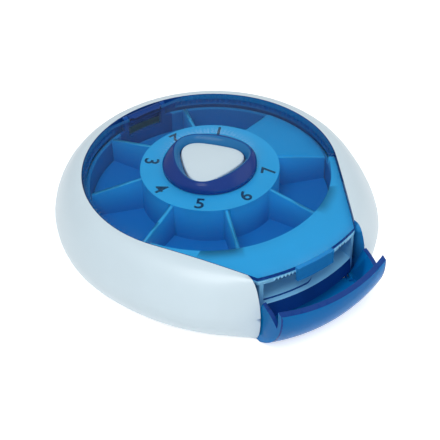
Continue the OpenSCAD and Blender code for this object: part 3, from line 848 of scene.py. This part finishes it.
class DISPENSER_OT_fasteners(bpy.types.Operator):
    """Adds the screws and the rubber pads under the casing"""
    bl_idname = "dispenser.fasteners"
    bl_label = "Screws and pads"

    def execute(self, context):
        scene = context.scene
        steel = spring_steel(scene)
        low, high = (v.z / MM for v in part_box("case_screws"))
        screws = []
        for k, turn in enumerate((52, 140, 220, 308)):
            a = math.radians(turn)
            screws.append(cross_screw("case_screw_%d" % (k + 1),
                                      (SCREW_CIRCLE * math.sin(a), -SCREW_CIRCLE * math.cos(a)),
                                      low, low + 1.7, 2.35, 1.25, high))
        activate(screws[0])
        for screw in screws:
            screw.select_set(True)
        bpy.ops.object.join()
        joined = bpy.context.object
        settle(joined, "casing_screws")
        finish_piece(joined, "base", "steel", steel, "case_screws")
        low, high = (v.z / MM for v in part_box("post_screw"))
        post = cross_screw("centre_screw", (0, 0), low, low + 1.1, 2.4, 1.25, high)
        finish_piece(post, "base", "steel", steel, "post_screw")

        pads = []
        spots = [(0.0, 0.0)]
        for turn in (38, 142, 218, 322):
            a = math.radians(turn)
            spots.append((PAD_CIRCLE * math.sin(a), -PAD_CIRCLE * math.cos(a)))
        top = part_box("rubber_feet")[1].z
        for k, (x, y) in enumerate(spots):
            deselect_all()
            bpy.ops.mesh.primitive_cylinder_add(vertices=64, radius=4.98 * MM, depth=top,
                                                location=(0, 0, top / 2))
            pad = bpy.context.object
            settle(pad, "pad_%d" % (k + 1))
            bpy.ops.object.mode_set(mode="EDIT")
            select_faces(pad, lambda face: face.normal.z < -0.9)
            for inset, rise in ((0.8, 0.0), (0.2, 0.35), (0.9, 0.0), (0.2, -0.35), (0.9, 0.0),
                                (0.2, 0.35)):
                bpy.ops.mesh.inset(thickness=inset * MM)
                if rise:
                    bpy.ops.transform.translate(value=(0, 0, rise * MM))
            bpy.ops.object.mode_set(mode="OBJECT")
            round_edges(pad, 0.12, 50)
            pad.location = (x * MM, y * MM, 0)
            settle(pad, "pad_%d" % (k + 1))
            smooth(pad, 30)
            pads.append(pad)
        activate(pads[0])
        for pad in pads:
            pad.select_set(True)
        bpy.ops.object.join()
        joined = bpy.context.object
        settle(joined, "rubber_pads")
        finish_piece(joined, "base", "rubber", foot_rubber(scene), "rubber_feet")
        return {"FINISHED"}


# ---- stage ----

def seen_rays(nodes, links):
    """1 for what the camera sees, directly, mirrored or through clear pieces."""
    path = nodes.new("ShaderNodeLightPath")
    value = path.outputs["Is Camera Ray"]
    for name in ("Is Glossy Ray", "Is Transmission Ray"):
        larger = nodes.new("ShaderNodeMath")
        larger.operation = "MAXIMUM"
        links.new(value, larger.inputs[0])
        links.new(path.outputs[name], larger.inputs[1])
        value = larger.outputs["Value"]
    return value


def backdrop_material():
    """Pale floor that the camera sees as white, with the shadow kept."""
    material, nodes, links, output = material_tree("pale floor")
    if nodes is None:
        return material
    place = nodes.new("ShaderNodeTexCoord")
    noise = nodes.new("ShaderNodeTexNoise")
    noise.inputs["Scale"].default_value = 40.0
    links.new(place.outputs["Object"], noise.inputs["Vector"])
    ramp = nodes.new("ShaderNodeValToRGB")
    ramp.color_ramp.elements[0].color = (0.90, 0.90, 0.90, 1)
    ramp.color_ramp.elements[1].color = (0.93, 0.93, 0.93, 1)
    links.new(noise.outputs["Fac"], ramp.inputs["Fac"])
    shader = nodes.new("ShaderNodeBsdfPrincipled")
    shader.inputs["Roughness"].default_value = 0.9
    links.new(ramp.outputs["Color"], shader.inputs["Base Color"])
    glow = nodes.new("ShaderNodeEmission")
    glow.inputs["Color"].default_value = (1, 1, 1, 1)
    strength = nodes.new("ShaderNodeMath")
    strength.operation = "MULTIPLY"
    strength.inputs[1].default_value = 0.6
    links.new(seen_rays(nodes, links), strength.inputs[0])
    links.new(strength.outputs["Value"], glow.inputs["Strength"])
    add = nodes.new("ShaderNodeAddShader")
    links.new(shader.outputs["BSDF"], add.inputs[0])
    links.new(glow.outputs["Emission"], add.inputs[1])
    links.new(add.outputs["Shader"], output.inputs["Surface"])
    return material


def soft_light(name, place, aim, size, power, colour=(1, 1, 1)):
    data = bpy.data.lights.new(name, "AREA")
    data.shape = "DISK"
    data.size = size
    data.energy = power
    data.color = colour
    light = bpy.data.objects.new(name, data)
    bpy.context.scene.collection.objects.link(light)
    light.location = place
    light.rotation_euler = (Vector(aim) - Vector(place)).to_track_quat("-Z", "Y").to_euler()
    return light


class DISPENSER_OT_stage(bpy.types.Operator):
    """Adds the floor, the studio light and the camera"""
    bl_idname = "dispenser.stage"
    bl_label = "Stage"

    def execute(self, context):
        scene = context.scene
        deselect_all()
        bpy.ops.mesh.primitive_plane_add(size=scene.dispenser.floor_width,
                                         location=(0, 0, -0.00002))
        floor = bpy.context.object
        settle(floor, "floor")
        floor.data.materials.append(backdrop_material())

        world = bpy.data.worlds.new("studio")
        scene.world = world
        world.use_nodes = True
        nodes = world.node_tree.nodes
        links = world.node_tree.links
        nodes.clear()
        output = nodes.new("ShaderNodeOutputWorld")
        soft = nodes.new("ShaderNodeBackground")
        soft.inputs["Color"].default_value = (0.95, 0.98, 1.0, 1)
        soft.inputs["Strength"].default_value = 0.42
        plain = nodes.new("ShaderNodeBackground")
        plain.inputs["Color"].default_value = (1, 1, 1, 1)
        plain.inputs["Strength"].default_value = 1.0
        mix = nodes.new("ShaderNodeMixShader")
        links.new(seen_rays(nodes, links), mix.inputs["Fac"])
        links.new(soft.outputs["Background"], mix.inputs[1])
        links.new(plain.outputs["Background"], mix.inputs[2])
        links.new(mix.outputs["Shader"], output.inputs["Surface"])

        soft_light("key", (-0.35, -0.25, 0.7), (0, 0, 0.02), 0.5, 3.3)
        soft_light("front", (-0.12, -0.75, 0.22), (0, -0.03, 0.015), 0.4, 0.4)
        soft_light("fill", (0.6, -0.35, 0.5), (0, 0, 0.02), 0.6, 1.0)

        turn, rise, roll = math.radians(-34.67), math.radians(40.36), math.radians(-1.73)
        back = Vector((math.sin(turn) * math.cos(rise), -math.cos(turn) * math.cos(rise),
                       math.sin(rise)))
        across = Vector((math.cos(turn), math.sin(turn), 0))
        up = back.cross(across)
        right = across * math.cos(roll) + up * math.sin(roll)
        above = up * math.cos(roll) - across * math.sin(roll)
        data = bpy.data.cameras.new("photo camera")
        data.sensor_width = 36
        data.lens = 36 * 1100.33 / 440
        data.shift_x = 0.5 - 211.22 / 440
        data.shift_y = 215.15 / 440 - 0.5
        data.clip_start = 0.01
        camera = bpy.data.objects.new("photo camera", data)
        scene.collection.objects.link(camera)
        turned = Matrix((right, above, back)).transposed().to_4x4()
        camera.matrix_world = Matrix.Translation(Vector((0, 0, 0.00599)) + back * 0.499) @ turned
        scene.camera = camera
        scene.view_settings.view_transform = "Standard"
        return {"FINISHED"}


class DISPENSER_PT_panel(bpy.types.Panel):
    bl_idname = "DISPENSER_PT_panel"
    bl_label = "Dispenser"
    bl_space_type = "VIEW_3D"
    bl_region_type = "UI"
    bl_category = "Dispenser"

    def draw(self, context):
        layout = self.layout
        settings = context.scene.dispenser
        for name in ("white", "sky", "outlet", "clear", "lid_tint", "indigo", "figure_size",
                     "figure_ring", "cap_mean", "cap_corner", "cap_turn", "floor_width"):
            layout.prop(settings, name)
        for operator in PIECES:
            layout.operator(operator.bl_idname)


PIECES = (DISPENSER_OT_casing, DISPENSER_OT_carousel, DISPENSER_OT_figures, DISPENSER_OT_lid,
          DISPENSER_OT_button, DISPENSER_OT_door, DISPENSER_OT_mechanism,
          DISPENSER_OT_fasteners, DISPENSER_OT_stage)
CLASSES = (DispenserSettings, *PIECES, DISPENSER_PT_panel)


def register():
    for cls in CLASSES:
        bpy.utils.register_class(cls)
    bpy.types.Scene.dispenser = PointerProperty(type=DispenserSettings)


def unregister():
    del bpy.types.Scene.dispenser
    for cls in reversed(CLASSES):
        bpy.utils.unregister_class(cls)


def main():
    register()
    bpy.ops.dispenser.casing()
    bpy.ops.dispenser.carousel()
    bpy.ops.dispenser.figures()
    bpy.ops.dispenser.lid()
    bpy.ops.dispenser.button()
    bpy.ops.dispenser.door()
    bpy.ops.dispenser.mechanism()
    bpy.ops.dispenser.fasteners()
    bpy.ops.dispenser.stage()


if __name__ == "__main__":
    main()
